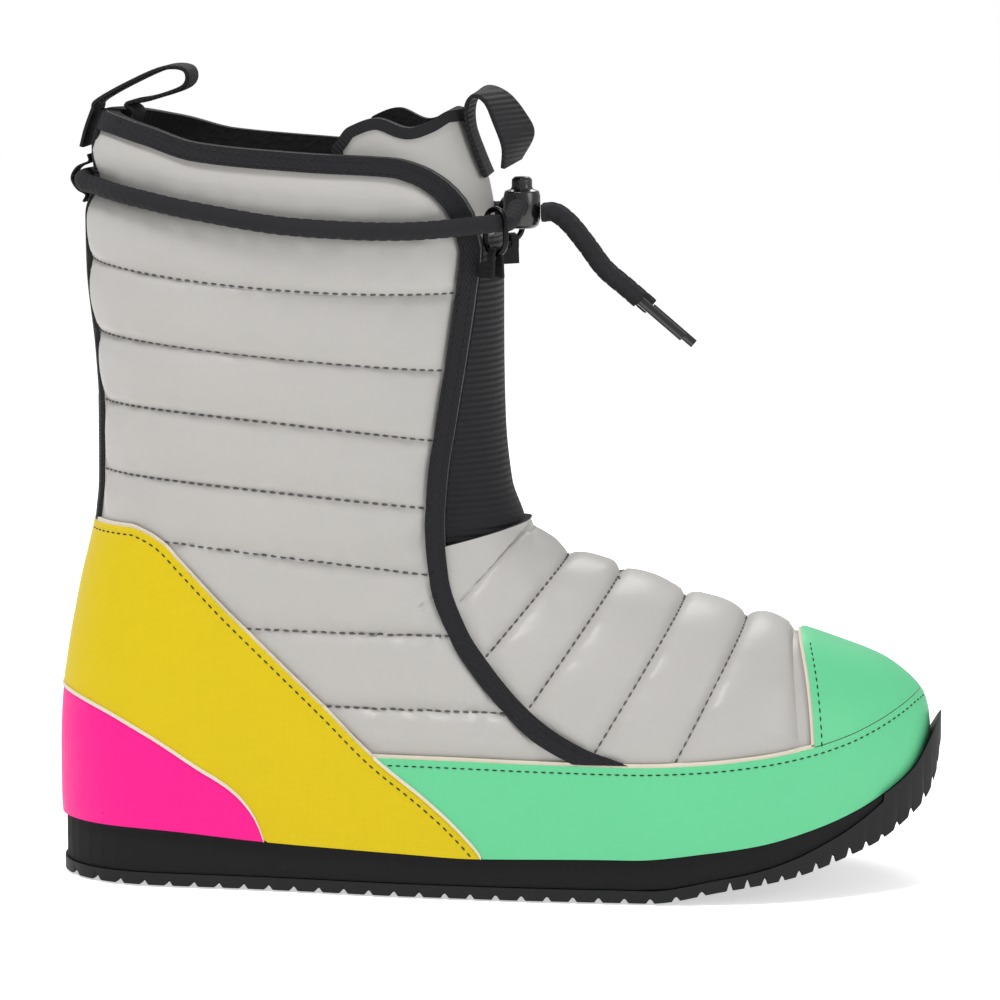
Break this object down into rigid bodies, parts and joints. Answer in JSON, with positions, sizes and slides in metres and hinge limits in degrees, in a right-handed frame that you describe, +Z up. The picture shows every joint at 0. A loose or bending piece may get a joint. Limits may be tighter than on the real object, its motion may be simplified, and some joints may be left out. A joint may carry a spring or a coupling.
{
  "type": "apres ski boot",
  "caption": "Quilted grey apres ski boot for the right foot with mint, yellow and pink overlays, a black drawcord, pull loops and a flat lugged black sole",
  "frame": {"origin": "middle of the heel's tread, on the floor", "axes": "+X from heel to toe, +Y to the inner side of the foot, +Z up"},
  "size_m": [0.3027, 0.1162, 0.2771],
  "materials": {
    "quilted_grey": "soft satin synthetic leather, quilted",
    "mint": "smooth satin synthetic leather",
    "yellow": "grained satin synthetic leather",
    "pink": "grained satin synthetic leather",
    "black_tape": "woven matte webbing",
    "black_rubber": "matte",
    "black_foam": "matte foam",
    "black_plastic": "glossy",
    "black_metal": "semi gloss",
    "black_cord": "soft braided cord"
  },
  "bodies": {
    "root": {"outsole": "black_rubber", "midsole": "black_foam", "insole": "black_foam", "upper": "quilted_grey", "tongue": "quilted_grey", "front_gore": "black_tape", "toe_cap": "mint", "toe_rand": "mint", "side_panel": "yellow", "heel_panel": "pink", "edge_binding": "black_tape", "back_tape": "black_tape", "back_pull_loop": "black_tape", "front_pull_loop": "black_tape", "drawcord": "black_cord", "cord_keeper": "black_tape", "ring_outer": "black_metal", "ring_inner": "black_metal", "ring_tab_outer": "black_tape", "ring_tab_inner": "black_tape", "cord_lock": "black_plastic", "cord_end_outer": "black_cord", "cord_end_inner": "black_cord", "cord_tip_outer": "black_plastic", "cord_tip_inner": "black_plastic"}
  },
  "joints": []
}
